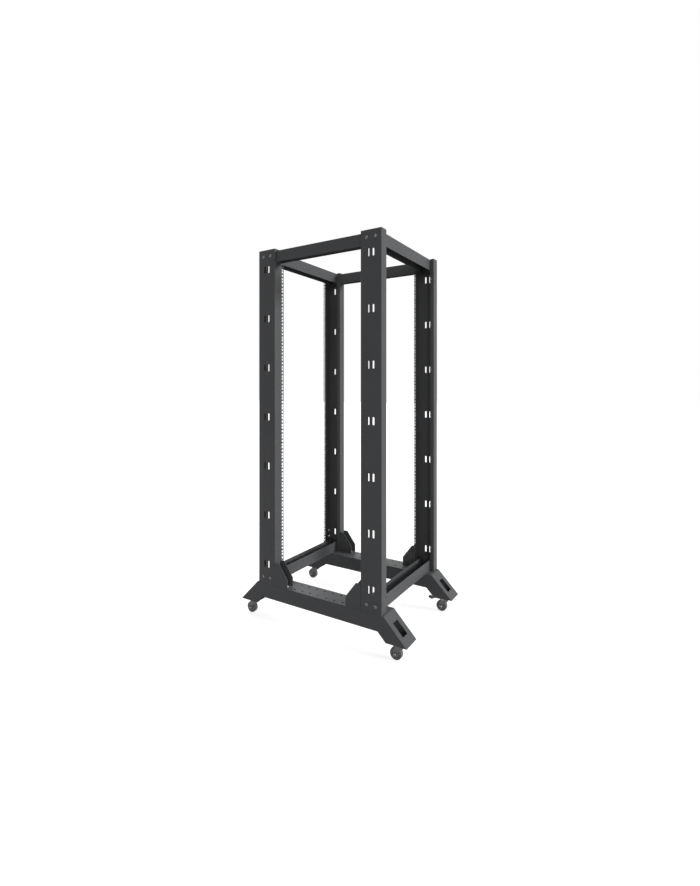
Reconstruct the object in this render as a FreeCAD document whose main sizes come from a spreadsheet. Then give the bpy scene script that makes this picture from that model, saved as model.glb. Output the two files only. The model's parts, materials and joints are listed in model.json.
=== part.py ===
"""Open four post equipment rack on casters, as a parametric document.

The frame has its origin on the floor under the middle of the rack. X runs from
the rear posts to the front posts, Y from the left side to the right side, and
Z is up. All sizes are millimetres.
"""

import FreeCAD, Part
import os
import re
import Sketcher

# Driving sizes, each written once

SIZES = [
    ("rack_width", 570, "outer faces of the left and right post webs"),
    ("rack_depth", 640, "outer faces of the rear and front post flanges"),
    ("rack_units", 32, "height of the square-hole columns in units"),
    ("column_margin", 45.3, "square-hole columns from the post ends"),
    ("post_width", 96, "post web"),
    ("post_sheet", 2, "thickness of the post sheet"),
    ("post_bend", 2, "inner radius of the post bends"),
    ("hole_line", 52.45, "square-hole columns behind the webs, 465.1 from left to right"),
    ("rail_edge", 7.55, "flange beyond the line of the square holes"),
    ("plain_flange", 42, "depth of the lipped flange"),
    ("lip_width", 20, "lip over the mouth of the post"),
    ("hole_side", 9.5, "square hole"),
    ("hole_step", 15.875, "three square holes of one unit"),
    ("unit_gap", 12.7, "last square hole of a unit to the first of the next"),
    ("slot_pairs", 7, "pairs of slots in each web"),
    ("slot_width", 8.5, "slot across"),
    ("slot_length", 32, "slot from end to end"),
    ("slot_spread", 20, "two slots of a pair"),
    ("slot_margin", 90, "outer slot pairs from the post ends"),
    ("foot_hole_radius", 3.5, "holes low in the lipped flange"),
    ("foot_hole_low", 62, "lower hole above the post foot"),
    ("foot_hole_high", 94, "upper hole above the post foot"),
    ("beam_width", 54, "cross beams"),
    ("beam_height", 52, "cross beams"),
    ("beam_sheet", 2.5, "thickness of the beam sheet"),
    ("beam_drop", 2, "top beams below the post tops"),
    ("rail_width", 37, "side top rails"),
    ("rail_height", 50, "side top rails"),
    ("rail_inset", 9, "side top rails behind the post webs"),
    ("rail_drop", 8, "side top rails below the post tops"),
    ("bracket_width", 40, "corner brackets"),
    ("bracket_reach", 72, "corner brackets along the base beam"),
    ("bracket_height", 105, "corner brackets up the post"),
    ("bracket_top", 22, "flat at the top of a bracket side"),
    ("bracket_toe", 40, "upright end of a bracket side"),
    ("bracket_sheet", 3, "thickness of the bracket sheet"),
    ("bracket_edge", 16, "end hole of the base beam, under a bracket, from its toe"),
    ("base_width", 90, "base beams"),
    ("base_height", 65, "base beams between the legs"),
    ("base_sheet", 3, "thickness of the base sheet"),
    ("toe_start", 8, "top of the leg slope outside the posts"),
    ("leg_run", 100, "leg slope along the rack"),
    ("leg_height", 35, "leg foot below the beam"),
    ("leg_foot", 92, "flat underside of a leg"),
    ("window_width", 38, "cut-out in the leg slope"),
    ("window_length", 62, "cut-out down the leg slope"),
    ("window_start", 40, "cut-out below the top of the slope"),
    ("floor_hole_radius", 4.5, "holes in the top of a base beam"),
    ("floor_hole_count", 9, "holes in each row"),
    ("floor_row_gap", 50, "two rows of a base beam"),
    ("caster_height", 75, "leg foot above the floor"),
    ("wheel_radius", 25, "caster wheel tread"),
    ("wheel_width", 20, "caster wheel tread"),
    ("wheel_hub_width", 23, "caster wheel hub"),
    ("wheel_trail", 20, "wheel behind the swivel"),
    ("axle_radius", 4, "caster axle"),
    ("kingpin_radius", 5, "swivel pin"),
    ("running_gap", 0.05, "radial play of the axle and the swivel pin"),
    ("plate_length", 76, "caster plate along the rack"),
    ("plate_width", 62, "caster plate across the rack"),
    ("plate_sheet", 2.5, "thickness of the caster plate"),
    ("race_radius", 20, "ball race under the plate"),
    ("race_height", 5, "ball race under the plate"),
    ("swivel_gap", 0.3, "play between race and fork"),
    ("fork_sheet", 2.5, "thickness of the fork"),
    ("fork_gap", 24, "between the cheeks of the fork"),
    ("fork_crown", 36, "flat top of the fork"),
    ("pedal_sheet", 2, "thickness of the brake pedal"),
    ("pedal_width", 20, "brake pedal arm between the fork cheeks"),
    ("pedal_arm", 31, "level arm behind the pedal pin"),
    ("pedal_neck", 23, "neck that dips behind the wheel"),
    ("pedal_neck_width", 12, "neck of the brake pedal"),
    ("pedal_dip", 9, "end of the neck below the arm"),
    ("pedal_blade", 20, "blade under the foot"),
    ("pedal_blade_width", 26, "blade under the foot"),
    ("pedal_rise", 7, "blade from its neck up to its tip"),
    ("pedal_lift", 7, "brake pedal above the tread"),
    ("pedal_pin_radius", 2, "brake pedal pin"),
]

POST_FOOT = "(caster_height + leg_height + base_height)"
UNIT = "(2 * hole_step + unit_gap)"
POST_HEIGHT = "(rack_units * %s + 2 * column_margin)" % UNIT
POST_TOP = "(%s + %s)" % (POST_FOOT, POST_HEIGHT)
INNER_X = "(rack_depth / 2 - post_width)"
RAIL_FLANGE = "(hole_line + rail_edge)"
BEAM_X = "(rack_depth / 2 - post_width / 2)"
SIDE_Y = "(rack_width / 2)"
LEG_DROP = "(base_height + leg_height)"
SLOPE = "(sqrt((base_height + leg_height)^2 + leg_run^2))"
SLOPE_X = "(rack_depth / 2 + toe_start)"
CASTER_X = "(rack_depth / 2 + toe_start + leg_run - leg_foot / 2)"
CASTER_Y = "(rack_width / 2 - base_width / 2)"
FORK_TOP = "(caster_height - plate_sheet - race_height - swivel_gap)"
HOLE_SPAN = "(2 * (rack_depth / 2 - post_width - bracket_reach + bracket_edge))"
PEDAL_X = "(kingpin_radius * 1.5 + 4)"
PEDAL_Z = "(2 * wheel_radius + pedal_lift)"

doc = FreeCAD.newDocument("OpenRack")
sheet = doc.addObject("Spreadsheet::Sheet", "Sizes")
for row, (alias, size, note) in enumerate(SIZES, start=1):
    sheet.set("A%d" % row, alias)
    sheet.set("B%d" % row, str(size))
    sheet.set("C%d" % row, note)
    sheet.setAlias("B%d" % row, alias)
doc.recompute()

parts = []


def bind(text):
    """Point every size name of an expression at the sheet."""
    return re.sub(r"\b[a-z][a-z_]*\b(?!\()", lambda word: "Sizes." + word.group(0), text)


def value(text):
    return float(sheet.evalExpression(bind(text)))


def signed(sign, text):
    """The expression, or its mirror image when the sign is negative."""
    if text == "0" or sign > 0:
        return text
    return "-(%s)" % text


# Bodies, sketches and features


def newBody(label, x="0", y="0", z="0"):
    body = doc.addObject("PartDesign::Body", label)
    body.Label = label
    for axis, text in zip("xyz", (x, y, z)):
        body.setExpression("Placement.Base." + axis, bind(text))
    parts.append(body)
    return body


def originOf(body, role):
    return [item for item in body.Origin.OriginFeatures if item.Role == role][0]


def newSketch(body, role, name, offset=None):
    """A sketch on an origin plane, lifted off it by an expression if one is given."""
    sketch = body.newObject("Sketcher::SketchObject", name)
    sketch.AttachmentSupport = [(originOf(body, role), "")]
    sketch.MapMode = "FlatFace"
    if offset:
        sketch.setExpression("AttachmentOffset.Base.z", bind(offset))
    return sketch


def locate(sketch, geo, pos, x, y):
    """Tie one point of a sketch to two expressions measured from its origin."""
    for kind, axis, text in (("DistanceX", -2, x), ("DistanceY", -1, y)):
        if text == "0":
            sketch.addConstraint(Sketcher.Constraint("PointOnObject", geo, pos, axis))
        else:
            constraint = Sketcher.Constraint(kind, -1, 1, geo, pos, value(text))
            index = sketch.addConstraint(constraint)
            sketch.setExpression("Constraints[%d]" % index, bind(text))


def setRadius(sketch, geo, text):
    index = sketch.addConstraint(Sketcher.Constraint("Radius", geo, value(text)))
    sketch.setExpression("Constraints[%d]" % index, bind(text))


def addOutline(sketch, corners):
    """A closed outline of straight lines through corners given as expressions."""
    points = [FreeCAD.Vector(value(x), value(y), 0) for x, y in corners]
    first = sketch.GeometryCount
    count = len(points)
    for i in range(count):
        sketch.addGeometry(Part.LineSegment(points[i], points[(i + 1) % count]), False)
    for i in range(count):
        link = Sketcher.Constraint("Coincident", first + i, 2, first + (i + 1) % count, 1)
        sketch.addConstraint(link)
    for i in range(count):
        locate(sketch, first + i, 1, *corners[i])


def addBox(sketch, left, right, low, high):
    addOutline(sketch, [(left, low), (right, low), (right, high), (left, high)])


def addCircle(sketch, x, y, radius):
    centre = FreeCAD.Vector(value(x), value(y), 0)
    circle = Part.Circle(centre, FreeCAD.Vector(0, 0, 1), value(radius))
    geo = sketch.addGeometry(circle, False)
    locate(sketch, geo, 3, x, y)
    setRadius(sketch, geo, radius)


def addHole(sketch, x, y, radius, reach="0"):
    """An eight-sided hole about (x, y), drawn out by the reach upwards and downwards.

    Its sides touch the circle of the radius, so half a side is the radius times
    the tangent of 22.5 degrees.
    """
    half = "%s * 0.41421" % radius
    corners = []
    for right, up in ((1, 1), (-1, 1), (-1, -1), (1, -1)):
        side = (signed(right, radius), signed(up, "%s + %s" % (reach, half)))
        end = (signed(right, half), signed(up, "%s + %s" % (reach, radius)))
        corners += [side, end] if right == up else [end, side]
    addOutline(sketch, [("%s + %s" % (x, across), "%s + %s" % (y, along))
                        for across, along in corners])


def addHexagon(sketch, radius):
    half = "%s / 2" % radius
    flat = "%s * 0.86603" % radius
    addOutline(sketch, [
        (radius, "0"),
        (half, flat),
        (signed(-1, half), flat),
        (signed(-1, radius), "0"),
        (signed(-1, half), signed(-1, flat)),
        (half, signed(-1, flat)),
    ])


def addPad(body, sketch, length, name, symmetric=False, reverse=False):
    pad = body.newObject("PartDesign::Pad", name)
    pad.Profile = sketch
    pad.setExpression("Length", bind(length))
    pad.SideType = "Symmetric" if symmetric else "One side"
    pad.Reversed = reverse
    doc.recompute()
    return pad


def addPocket(body, sketch, length, name):
    """Cut a sketch to both sides of its plane, by half the length each way."""
    before = body.Tip.Shape.Volume
    pocket = body.newObject("PartDesign::Pocket", name)
    pocket.Profile = sketch
    pocket.Type = "Length"
    pocket.SideType = "Symmetric"
    pocket.setExpression("Length", bind(length))
    doc.recompute()
    if pocket.Shape.isNull() or pocket.Shape.Volume >= before:
        raise RuntimeError("%s cuts nothing from %s" % (name, body.Label))
    return pocket


def addRow(body, feature, role, length, count, name):
    """Repeat a feature along an origin axis, count times over the whole length."""
    row = body.newObject("PartDesign::LinearPattern", name)
    row.Originals = [feature]
    row.Direction = (originOf(body, role), [""])
    row.setExpression("Length", bind(length))
    row.setExpression("Occurrences", bind(count))
    body.Tip = row
    doc.recompute()
    return row


def mirrorOver(body, feature, role, name):
    mirrored = body.newObject("PartDesign::Mirrored", name)
    mirrored.Originals = [feature]
    mirrored.MirrorPlane = (originOf(body, role), [""])
    body.Tip = mirrored
    doc.recompute()
    return mirrored


def roundBends(body, corners, axis, radius, name):
    """Round the straight edges that run along an axis through the given corners."""
    across = [i for i in range(3) if i != "xyz".index(axis)]
    base = body.Tip
    names = []
    for number, edge in enumerate(base.Shape.Edges, start=1):
        ends = [tuple(vertex.Point) for vertex in edge.Vertexes]
        if len(ends) != 2:
            continue
        for corner in corners:
            spot = [value(text) for text in corner]
            if all(abs(end[k] - spot[n]) < 0.001 for end in ends for n, k in enumerate(across)):
                names.append("Edge%d" % number)
    fillet = body.newObject("PartDesign::Fillet", name)
    fillet.Base = (base, names)
    fillet.setExpression("Radius", bind(radius))
    doc.recompute()
    return fillet


# Posts
# One sheet folded to a web, a flange with the square holes and a lipped flange.
# The local origin is the outer corner of web and square-hole flange at the foot.


def makePost(label, x, side, lipEnd, footHoles):
    """side is -1 for the left posts; lipEnd is +1 where the lip is at the +X end."""
    inward = -side
    body = newBody(label, x, signed(side, SIDE_Y), POST_FOOT)

    def spot(across, deep):
        return (signed(lipEnd, across), signed(inward, deep))

    section = newSketch(body, "XY_Plane", label + "_section")
    inside = "plain_flange - post_sheet"
    lip = "post_width - lip_width"
    far = "post_width - post_sheet"
    addOutline(section, [
        spot("0", RAIL_FLANGE),
        spot("0", "0"),
        spot("post_width", "0"),
        spot("post_width", "plain_flange"),
        spot(lip, "plain_flange"),
        spot(lip, inside),
        spot(far, inside),
        spot(far, "post_sheet"),
        spot("post_sheet", "post_sheet"),
        spot("post_sheet", RAIL_FLANGE),
    ])
    addPad(body, section, POST_HEIGHT, label + "_fold")
    outer = [spot("0", "0"), spot("post_width", "0"), spot("post_width", "plain_flange")]
    inner = [spot("post_sheet", "post_sheet"), spot(far, "post_sheet"), spot(far, inside)]
    roundBends(body, outer, "z", "post_bend + post_sheet", label + "_outer_bends")
    roundBends(body, inner, "z", "post_bend", label + "_inner_bends")

    # Two plain holes near the foot, in the flange that faces away from the rack's
    # middle
    through = "post_sheet * 4"
    lipOutside = footHoles == "lip"
    outerFlange = signed(lipEnd, "post_width") if lipOutside else None
    feet = newSketch(body, "YZ_Plane", label + "_feet", outerFlange)
    deep = "plain_flange - 8" if lipOutside else "plain_flange / 4"
    for height in ("foot_hole_low", "foot_hole_high"):
        addHole(feet, signed(inward, deep), height, "foot_hole_radius")
    addPocket(body, feet, through, label + "_foot_holes")

    slots = newSketch(body, "XZ_Plane", label + "_slot_pair")
    for sign in ("-", "+"):
        middle = signed(lipEnd, "(post_width / 2 %s slot_spread / 2)" % sign)
        addHole(slots, middle, "slot_margin", "slot_width / 2", "(slot_length - slot_width) / 2")
    cut = addPocket(body, slots, through, label + "_slots")
    addRow(body, cut, "Z_Axis", POST_HEIGHT + " - 2 * slot_margin", "slot_pairs",
           label + "_slot_row")

    unit = newSketch(body, "YZ_Plane", label + "_unit")
    for step in range(3):
        low = "column_margin + unit_gap / 2 + %d * hole_step - hole_side / 2" % step
        edges = [signed(inward, "(hole_line - hole_side / 2)"),
                 signed(inward, "(hole_line + hole_side / 2)")]
        addBox(unit, edges[0], edges[1], low, low + " + hole_side")
    squares = addPocket(body, unit, through, label + "_unit_holes")
    addRow(body, squares, "Z_Axis", "(rack_units - 1) * " + UNIT, "rack_units",
           label + "_hole_column")


makePost("front_left_post", INNER_X, -1, 1, "lip")
makePost("front_right_post", INNER_X, 1, 1, "lip")
makePost("rear_left_post", signed(-1, INNER_X), -1, -1, "lip")
makePost("rear_right_post", "-rack_depth / 2", 1, 1, "rail")

# Cross beams
# Channels across the rack, open away from their closed side, with a folded end
# tab against each post web. The local origin is the middle of the closed side.


def makeCrossBeam(label, front, x, z, opening):
    body = newBody(label, signed(front, x), "0", z)
    half = "beam_width / 2"
    block = newSketch(body, "XZ_Plane", label + "_block")
    addBox(block, signed(-1, half), half, "0", signed(opening, "beam_height"))
    addPad(body, block, "rack_width - 2 * post_sheet", label + "_channel", True)
    trough = newSketch(body, "XZ_Plane", label + "_trough")
    wall = "beam_width / 2 - beam_sheet"
    addBox(trough, signed(-1, wall), wall, signed(opening, "beam_sheet"),
           signed(opening, "beam_height + beam_sheet"))
    addPocket(body, trough, "rack_width - 2 * post_sheet - 2 * beam_sheet", label + "_hollow")


TOP_BEAM_Z = POST_TOP + " - beam_drop"
makeCrossBeam("front_bottom_beam", 1, BEAM_X, POST_FOOT, 1)
makeCrossBeam("rear_bottom_beam", -1, BEAM_X, POST_FOOT, 1)
makeCrossBeam("front_top_beam", 1, BEAM_X, TOP_BEAM_Z, -1)
makeCrossBeam("rear_top_beam", -1, BEAM_X, TOP_BEAM_Z, -1)

# Side top rails
# Channels open downwards between the front and rear posts of each side.


def makeTopRail(label, side):
    middle = SIDE_Y + " - rail_inset - rail_width / 2"
    body = newBody(label, "0", signed(side, middle), POST_TOP + " - rail_drop")
    length = "rack_depth - 2 * post_width"
    half = "rail_width / 2"
    block = newSketch(body, "YZ_Plane", label + "_block")
    addBox(block, signed(-1, half), half, "-rail_height", "0")
    addPad(body, block, length, label + "_channel", True)
    trough = newSketch(body, "YZ_Plane", label + "_trough")
    wall = "rail_width / 2 - beam_sheet"
    addBox(trough, signed(-1, wall), wall, "-(rail_height + beam_sheet)", "-beam_sheet")
    addPocket(body, trough, length + " - 2 * beam_sheet", label + "_hollow")


makeTopRail("left_top_rail", -1)
makeTopRail("right_top_rail", 1)

# Base beams
# A folded channel open downwards whose ends turn down into splayed legs. The
# local origin is the middle of the top face.


def makeBaseBeam(label, side):
    body = newBody(label, "0", signed(side, CASTER_Y), POST_FOOT)
    tip = SLOPE_X + " + leg_run"
    heel = tip + " - leg_foot"
    knee = heel + " - leg_height"
    outline = [
        (SLOPE_X, "0"),
        (tip, "-" + LEG_DROP),
        (heel, "-" + LEG_DROP),
        (knee, "-base_height"),
    ]
    mirror = [(signed(-1, x), z) for x, z in reversed(outline)]
    profile = newSketch(body, "XZ_Plane", label + "_profile")
    addOutline(profile, outline + mirror)
    addPad(body, profile, "base_width", label + "_fold", True)

    # The inside face of the slope lies one sheet in, measured square to it
    shift = "base_sheet * %s / %s" % (SLOPE, LEG_DROP)
    high = SLOPE_X + " + base_sheet * leg_run / " + LEG_DROP + " - " + shift
    low = tip + " - base_sheet * leg_run / " + LEG_DROP + " - " + shift
    floor = "-(" + LEG_DROP + " - base_sheet)"
    inside = newSketch(body, "XZ_Plane", label + "_inside")
    addOutline(inside, [
        (high, "-base_sheet"),
        (low, floor),
        (signed(-1, low), floor),
        (signed(-1, high), "-base_sheet"),
    ])
    addPocket(body, inside, "base_width - 2 * base_sheet", label + "_hollow")

    holes = newSketch(body, "XY_Plane", label + "_floor_holes")
    for sign in (-1, 1):
        addCircle(holes, "-%s / 2" % HOLE_SPAN, signed(sign, "floor_row_gap / 2"),
                  "floor_hole_radius")
    drilled = addPocket(body, holes, "base_sheet * 4", label + "_first_holes")
    addRow(body, drilled, "X_Axis", HOLE_SPAN, "floor_hole_count", label + "_hole_rows")

    # The cut-out is square to the slope, so its plane leans with the slope
    window = newSketch(body, "YZ_Plane", label + "_window")
    window.AttachmentOffset = FreeCAD.Placement(
        FreeCAD.Vector(0, 0, value(SLOPE_X)), FreeCAD.Rotation(FreeCAD.Vector(1, 0, 0), -45))
    window.setExpression("AttachmentOffset.Base.z", bind(SLOPE_X))
    window.setExpression("AttachmentOffset.Rotation.Angle",
                         bind("atan(leg_run / %s)" % LEG_DROP))
    window.setExpression("AttachmentOffset.Rotation.Axis.x", "-1")
    addBox(window, "-window_width / 2", "window_width / 2",
           "-(window_start + window_length)", "-window_start")
    cut = addPocket(body, window, "base_sheet * 4", label + "_front_window")
    mirrorOver(body, cut, "YZ_Plane", label + "_windows")


makeBaseBeam("left_base_beam", -1)
makeBaseBeam("right_base_beam", 1)

# Corner brackets
# A folded foot: back against the post flange, foot on the base beam, and two
# cheeks cut back along a slant. The foot covers the end hole of the outer row in
# the base beam, where its bolt goes.


def makeBracket(label, front, side):
    middle = SIDE_Y + " - bracket_width / 2"
    body = newBody(label, signed(front, INNER_X), signed(side, middle), POST_FOOT)
    cheek = newSketch(body, "XZ_Plane", label + "_cheek")
    reach = "bracket_reach"
    addOutline(cheek, [
        ("0", "0"),
        (signed(-front, reach), "0"),
        (signed(-front, reach), "bracket_toe"),
        (signed(-front, "bracket_top"), "bracket_height"),
        ("0", "bracket_height"),
    ])
    addPad(body, cheek, "bracket_width", label + "_fold", True)
    inside = newSketch(body, "XZ_Plane", label + "_inside")
    past = "bracket_reach + bracket_sheet"
    addBox(inside, signed(-front, "bracket_sheet"), signed(-front, past),
           "bracket_sheet", "bracket_height + bracket_sheet")
    addPocket(body, inside, "bracket_width - 2 * bracket_sheet", label + "_hollow")


makeBracket("front_left_bracket", 1, -1)
makeBracket("front_right_bracket", 1, 1)
makeBracket("rear_left_bracket", -1, -1)
makeBracket("rear_right_bracket", -1, 1)

# Casters
# A bolted plate with its ball race and swivel pin, a fork that turns on the pin,
# and a wheel on the fork's axle, behind the swivel. Local origins: the swivel
# axis at floor level, or the wheel centre.


def makeCaster(corner, front, side, braked=False):
    x = signed(front, CASTER_X)
    y = signed(side, CASTER_Y)

    plate = newBody(corner + "_caster_plate", x, y, "0")
    sheetOutline = newSketch(plate, "XY_Plane", corner + "_plate_outline", "caster_height")
    halfLength = "plate_length / 2"
    halfWidth = "plate_width / 2"
    addBox(sheetOutline, signed(-1, halfLength), halfLength, signed(-1, halfWidth), halfWidth)
    addPad(plate, sheetOutline, "plate_sheet", corner + "_plate", reverse=True)
    race = newSketch(plate, "XY_Plane", corner + "_race_outline", "caster_height - plate_sheet")
    addCircle(race, "0", "0", "race_radius")
    addPad(plate, race, "race_height", corner + "_race", reverse=True)
    pin = newSketch(plate, "XY_Plane", corner + "_pin_outline", "caster_height - plate_sheet")
    addCircle(pin, "0", "0", "kingpin_radius")
    pinLength = "race_height + fork_sheet + 2 * swivel_gap + 3"
    addPad(plate, pin, pinLength, corner + "_pin", reverse=True)
    head = newSketch(plate, "XY_Plane", corner + "_head_outline",
                     "caster_height - plate_sheet - (" + pinLength + ")")
    addHexagon(head, "kingpin_radius * 1.5")
    addPad(plate, head, "3", corner + "_pin_nut")

    fork = newBody(corner + "_caster_fork", x, y, "0")
    side_view = newSketch(fork, "XZ_Plane", corner + "_fork_side")
    addOutline(side_view, [
        ("fork_crown / 2", FORK_TOP),
        ("fork_crown / 2 - 6", FORK_TOP + " - 16"),
        ("-(wheel_trail - 9)", "wheel_radius - 5"),
        ("-(wheel_trail - 4)", "wheel_radius - 9"),
        ("-(wheel_trail + 4)", "wheel_radius - 9"),
        ("-(wheel_trail + 9)", "wheel_radius - 5"),
        ("-(wheel_trail + 9)", "wheel_radius + 8"),
        ("-fork_crown / 2", FORK_TOP),
    ])
    addPad(fork, side_view, "fork_gap + 2 * fork_sheet", corner + "_fork_block", True)
    gap = newSketch(fork, "XZ_Plane", corner + "_fork_gap")
    addBox(gap, "-(wheel_trail + wheel_radius)", "fork_crown", "0", FORK_TOP + " - fork_sheet")
    addPocket(fork, gap, "fork_gap", corner + "_fork_cheeks")
    bore = newSketch(fork, "XY_Plane", corner + "_fork_bore_outline", FORK_TOP)
    addCircle(bore, "0", "0", "kingpin_radius + running_gap")
    addPocket(fork, bore, "fork_sheet * 4", corner + "_fork_bore")
    axle = newSketch(fork, "XZ_Plane", corner + "_axle_outline")
    addCircle(axle, "-wheel_trail", "wheel_radius", "axle_radius")
    addPad(fork, axle, "fork_gap + 4 * fork_sheet", corner + "_axle", True)
    if braked:
        pivot = newSketch(fork, "XZ_Plane", corner + "_pedal_pin_outline")
        addCircle(pivot, "-" + PEDAL_X, PEDAL_Z, "pedal_pin_radius")
        addPad(fork, pivot, "fork_gap + 2 * fork_sheet", corner + "_pedal_pin", True)

    wheel = newBody(corner + "_caster_wheel", x + " - wheel_trail", y, "wheel_radius")
    profile = newSketch(wheel, "YZ_Plane", corner + "_wheel_profile")
    bore = "axle_radius + running_gap"
    half = "wheel_width / 2"
    hub = "wheel_hub_width / 2"
    addOutline(profile, [
        (signed(-1, hub), bore),
        (hub, bore),
        (hub, "wheel_radius * 0.4"),
        (half, "wheel_radius * 0.7"),
        (half, "wheel_radius"),
        (signed(-1, half), "wheel_radius"),
        (signed(-1, half), "wheel_radius * 0.7"),
        (signed(-1, hub), "wheel_radius * 0.4"),
    ])
    turned = wheel.newObject("PartDesign::Revolution", corner + "_wheel_turned")
    turned.Profile = profile
    turned.ReferenceAxis = (originOf(wheel, "Y_Axis"), [""])
    turned.Angle = 360
    doc.recompute()


makeCaster("front_left", 1, -1)
makeCaster("front_right", 1, 1, braked=True)
makeCaster("rear_left", -1, -1)
makeCaster("rear_right", -1, 1)

# Brake pedal of the front right caster
# A level arm turns on a pin between the fork cheeks, over the tread. Behind the
# wheel it dips in a narrow neck and rises again in a wide blade.

pedal = newBody("front_right_brake_pedal", CASTER_X + " - " + PEDAL_X, CASTER_Y, PEDAL_Z)
NECK_END = "(pedal_arm + pedal_neck)"
TIP = "(pedal_arm + pedal_neck + pedal_blade)"
LINE = [("0", "0"), ("-pedal_arm", "0"), ("-" + NECK_END, "-pedal_dip"),
        ("-" + TIP, "(pedal_rise - pedal_dip)")]
STRETCHES = [("arm", "pedal_width"), ("neck", "pedal_neck_width"), ("blade", "pedal_blade_width")]
for (label, width), near, far in zip(STRETCHES, LINE, LINE[1:]):
    stretch = newSketch(pedal, "XZ_Plane", "pedal_" + label + "_side")
    addOutline(stretch, [
        (near[0], near[1] + " - pedal_sheet / 2"),
        (near[0], near[1] + " + pedal_sheet / 2"),
        (far[0], far[1] + " + pedal_sheet / 2"),
        (far[0], far[1] + " - pedal_sheet / 2"),
    ])
    addPad(pedal, stretch, width, "pedal_" + label, True)
knuckle = newSketch(pedal, "XZ_Plane", "pedal_knuckle_outline")
addCircle(knuckle, "0", "0", "pedal_pin_radius * 2")
addPad(pedal, knuckle, "pedal_width", "pedal_knuckle", True)
bore = newSketch(pedal, "XZ_Plane", "pedal_bore_outline")
addCircle(bore, "0", "0", "pedal_pin_radius + running_gap")
addPocket(pedal, bore, "pedal_width * 2", "pedal_bore")

doc.recompute()

# Every object is checked before anything is written

for item in doc.Objects:
    if "Invalid" in item.State or "Error" in item.State:
        raise RuntimeError("%s failed: %s" % (item.Name, item.State))
for body in parts:
    if body.Shape.isNull() or not body.Shape.isValid():
        raise RuntimeError("%s has no valid shape" % body.Label)
    if len(body.Shape.Solids) != 1:
        raise RuntimeError("%s is not one solid" % body.Label)

os.makedirs("parts", exist_ok=True)
for body in parts:
    body.Shape.exportStep("parts/%s.step" % body.Label)
    print(body.Label, round(body.Shape.Volume), body.Shape.BoundBox)
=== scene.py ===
import json
import math

import bmesh
import bpy
import numpy as np
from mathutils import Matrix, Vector
from mathutils.geometry import delaunay_2d_cdt

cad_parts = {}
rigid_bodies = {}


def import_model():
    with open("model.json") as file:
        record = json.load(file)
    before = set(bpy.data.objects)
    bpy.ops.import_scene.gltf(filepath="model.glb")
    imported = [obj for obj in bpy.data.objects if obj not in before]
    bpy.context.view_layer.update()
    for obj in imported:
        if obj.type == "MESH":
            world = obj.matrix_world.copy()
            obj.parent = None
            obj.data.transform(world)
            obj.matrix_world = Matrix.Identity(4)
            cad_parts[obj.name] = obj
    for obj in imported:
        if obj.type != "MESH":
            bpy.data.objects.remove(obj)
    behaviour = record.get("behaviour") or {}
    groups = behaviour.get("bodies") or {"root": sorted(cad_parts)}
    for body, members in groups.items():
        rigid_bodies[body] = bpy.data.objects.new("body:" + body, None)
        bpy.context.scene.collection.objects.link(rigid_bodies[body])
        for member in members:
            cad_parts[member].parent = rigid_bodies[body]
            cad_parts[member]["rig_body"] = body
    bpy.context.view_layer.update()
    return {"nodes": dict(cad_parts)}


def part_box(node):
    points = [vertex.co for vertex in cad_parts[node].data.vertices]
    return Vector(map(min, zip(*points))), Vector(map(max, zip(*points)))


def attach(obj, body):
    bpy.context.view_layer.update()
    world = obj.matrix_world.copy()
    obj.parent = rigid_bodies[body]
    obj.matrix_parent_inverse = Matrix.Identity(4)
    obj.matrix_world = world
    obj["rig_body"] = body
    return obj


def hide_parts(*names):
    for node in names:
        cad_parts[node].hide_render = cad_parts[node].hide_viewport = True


# An open four post rack on casters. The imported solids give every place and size, and
# this file adds the folded posts with all their holes, the casters in detail, the bolts,
# the finishes, the lamps and the camera. Lengths are millimetres where no other unit is
# given.

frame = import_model()
nodes = frame["nodes"]
mm = 0.001
# each corner's side along X (front 1) and along Y (right 1)
corners = {"front_left": (1, -1), "front_right": (1, 1), "rear_left": (-1, -1),
           "rear_right": (-1, 1)}
print("frame loaded:", len(nodes), "nodes")


# Node groups that several finishes share

def newGroup(name, inputs, outputs):
    # an empty shader group with named sockets, inputs as (label, kind, value) and outputs as
    # (label, kind)
    group = bpy.data.node_groups.new(name, "ShaderNodeTree")
    for label, kind, value in inputs:
        socket = group.interface.new_socket(label, in_out="INPUT", socket_type=kind)
        socket.default_value = value
    for label, kind in outputs:
        group.interface.new_socket(label, in_out="OUTPUT", socket_type=kind)
    return group, group.nodes.new("NodeGroupInput"), group.nodes.new("NodeGroupOutput")


def makeCoatGroup():
    # powder coat: height = fine noise + 0.45 * distance to the nearest grain's middle, a slow
    # drift of tone from coarse noise, and a speck for the roughness from the fine noise
    group, given, result = newGroup(
        "powderGrain",
        [("Grain Size", "NodeSocketFloat", 900.0), ("Drift Size", "NodeSocketFloat", 7.0)],
        [("Height", "NodeSocketFloat"), ("Drift", "NodeSocketFloat"),
         ("Speck", "NodeSocketFloat")])
    links = group.links
    place = group.nodes.new("ShaderNodeTexCoord")
    fine = group.nodes.new("ShaderNodeTexNoise")
    fine.inputs["Detail"].default_value = 2.0
    fine.inputs["Roughness"].default_value = 0.55
    coarse = group.nodes.new("ShaderNodeTexNoise")
    coarse.inputs["Detail"].default_value = 3.0
    cells = group.nodes.new("ShaderNodeTexVoronoi")
    join = group.nodes.new("ShaderNodeMath")
    join.operation = "MULTIPLY_ADD"
    join.inputs[1].default_value = 0.45
    for texture, size in ((fine, "Grain Size"), (coarse, "Drift Size"), (cells, "Grain Size")):
        links.new(place.outputs["Object"], texture.inputs["Vector"])
        links.new(given.outputs[size], texture.inputs["Scale"])
    links.new(cells.outputs["Distance"], join.inputs[0])
    links.new(fine.outputs["Fac"], join.inputs[2])
    links.new(join.outputs[0], result.inputs["Height"])
    links.new(coarse.outputs["Fac"], result.inputs["Drift"])
    links.new(fine.outputs["Fac"], result.inputs["Speck"])
    return group


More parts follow.
